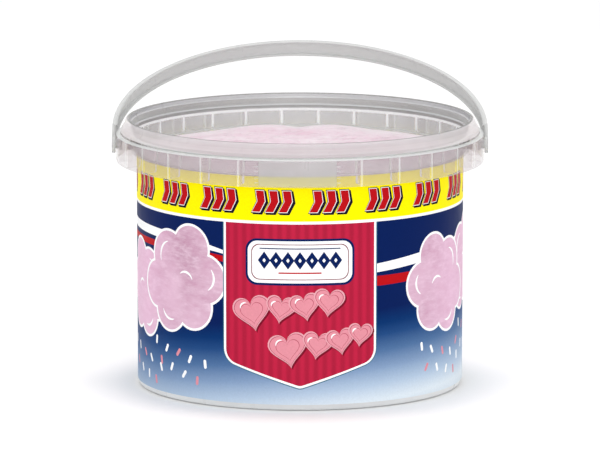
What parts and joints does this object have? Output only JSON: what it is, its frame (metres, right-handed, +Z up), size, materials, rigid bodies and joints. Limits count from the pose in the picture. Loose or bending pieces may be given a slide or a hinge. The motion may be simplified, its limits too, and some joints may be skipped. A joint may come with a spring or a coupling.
{
  "type": "tub of cotton candy",
  "caption": "Round milky plastic tub with a ribbed collar, a printed wrap label and a swinging bail handle, open and filled with pink cotton candy.",
  "frame": {"origin": "middle of the flat base, where the tub stands", "axes": "+Z up out of the tub's mouth, +X along the handle's pivot line to the right seen from the front, -Y towards the front of the label"},
  "size_m": [0.2302, 0.2382, 0.1946],
  "materials": {
    "milky_plastic": "milky translucent polypropylene, smooth and softly glossy",
    "printed_label": "printed film, satin, with yellow, navy, crimson and white fields",
    "spun_sugar": "matte, fluffy, fine sugar threads",
    "handle_plastic": "milky translucent polypropylene, smooth"
  },
  "bodies": {
    "tub": {"tub": "milky_plastic", "label": "printed_label", "cotton_candy": "spun_sugar"},
    "handle": {"handle": "handle_plastic"}
  },
  "joints": [
    {"name": "handle_swing", "type": "hinge", "parent": "tub", "child": "handle", "pos_m": [0, 0, 0.1474], "axis": [1, 0, 0], "range_deg": [-54, 196]}
  ]
}
